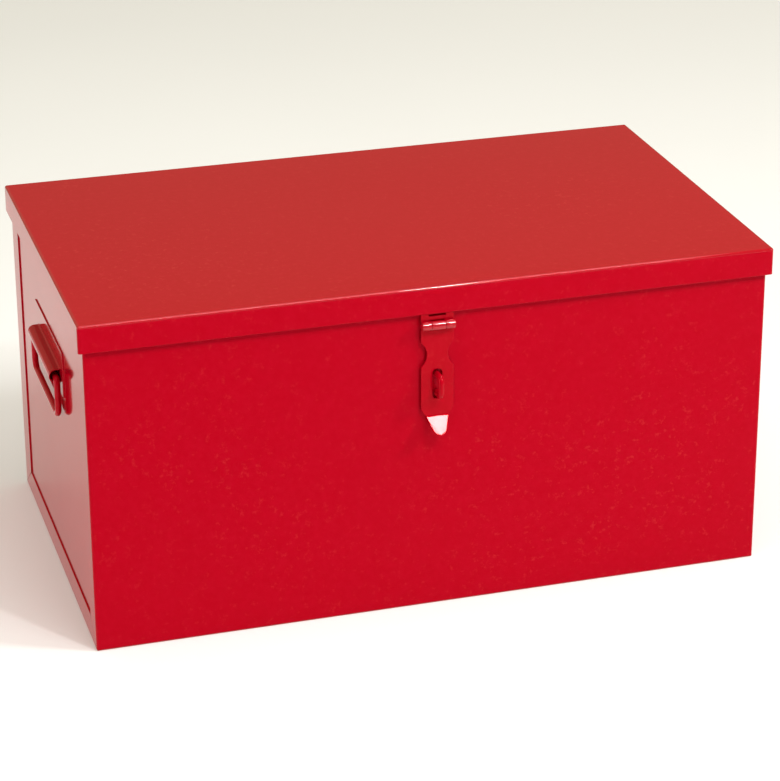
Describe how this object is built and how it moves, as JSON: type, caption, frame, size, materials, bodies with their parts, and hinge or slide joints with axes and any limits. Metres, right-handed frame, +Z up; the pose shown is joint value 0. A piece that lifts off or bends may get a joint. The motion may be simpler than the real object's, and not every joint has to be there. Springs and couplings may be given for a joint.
{
  "type": "jobsite box",
  "caption": "Long folded-steel jobsite box with a skirted hinged lid, a front hasp over a padlock staple and a drop handle on each end.",
  "frame": {"origin": "middle of the flat underside, where the box stands", "axes": "+X along the length to the right end, +Y to the back, +Z up; the hasp is on the front, -Y"},
  "size_m": [0.7126, 0.4314, 0.344],
  "materials": {
    "box_paint": "gloss red powder coat on folded sheet",
    "handle_paint": "gloss red paint on pressed plate and rod",
    "hasp_paint": "gloss red paint on the hasp and staple",
    "hinge_paint": "gloss red paint on hinge leaves and pins"
  },
  "bodies": {
    "box": {"body_wrap": "box_paint", "end_panel_left": "box_paint", "end_panel_right": "box_paint", "padlock_staple": "hasp_paint", "staple_backing_plate": "box_paint", "hinge_left_body_leaf": "hinge_paint", "hinge_left_pin": "hinge_paint", "handle_left_base": "handle_paint", "hinge_right_body_leaf": "hinge_paint", "hinge_right_pin": "hinge_paint", "handle_right_base": "handle_paint"},
    "lid": {"lid_tray": "box_paint", "lid_stiffener": "box_paint", "hasp_lid_leaf": "hasp_paint", "hasp_pin": "hinge_paint", "hinge_left_lid_leaf": "hinge_paint", "hinge_right_lid_leaf": "hinge_paint"},
    "hasp": {"hasp_strap": "hasp_paint"},
    "left_bail": {"handle_left_bail": "handle_paint"},
    "right_bail": {"handle_right_bail": "handle_paint"}
  },
  "joints": [
    {"name": "lid_hinge", "type": "hinge", "parent": "box", "child": "lid", "pos_m": [0, 0.20585, 0.3095], "axis": [-1, 0, 0], "range_deg": [0, 110]},
    {"name": "hasp_swing", "type": "hinge", "parent": "lid", "child": "hasp", "pos_m": [0, -0.20785, 0.3045], "axis": [-1, 0, 0], "range_deg": [0, 180]},
    {"name": "left_bail_swing", "type": "hinge", "parent": "box", "child": "left_bail", "pos_m": [-0.3493, -0.004, 0.2342], "axis": [0, 1, 0], "range_deg": [0, 180]},
    {"name": "right_bail_swing", "type": "hinge", "parent": "box", "child": "right_bail", "pos_m": [0.3493, -0.004, 0.2342], "axis": [0, -1, 0], "range_deg": [0, 180]}
  ]
}
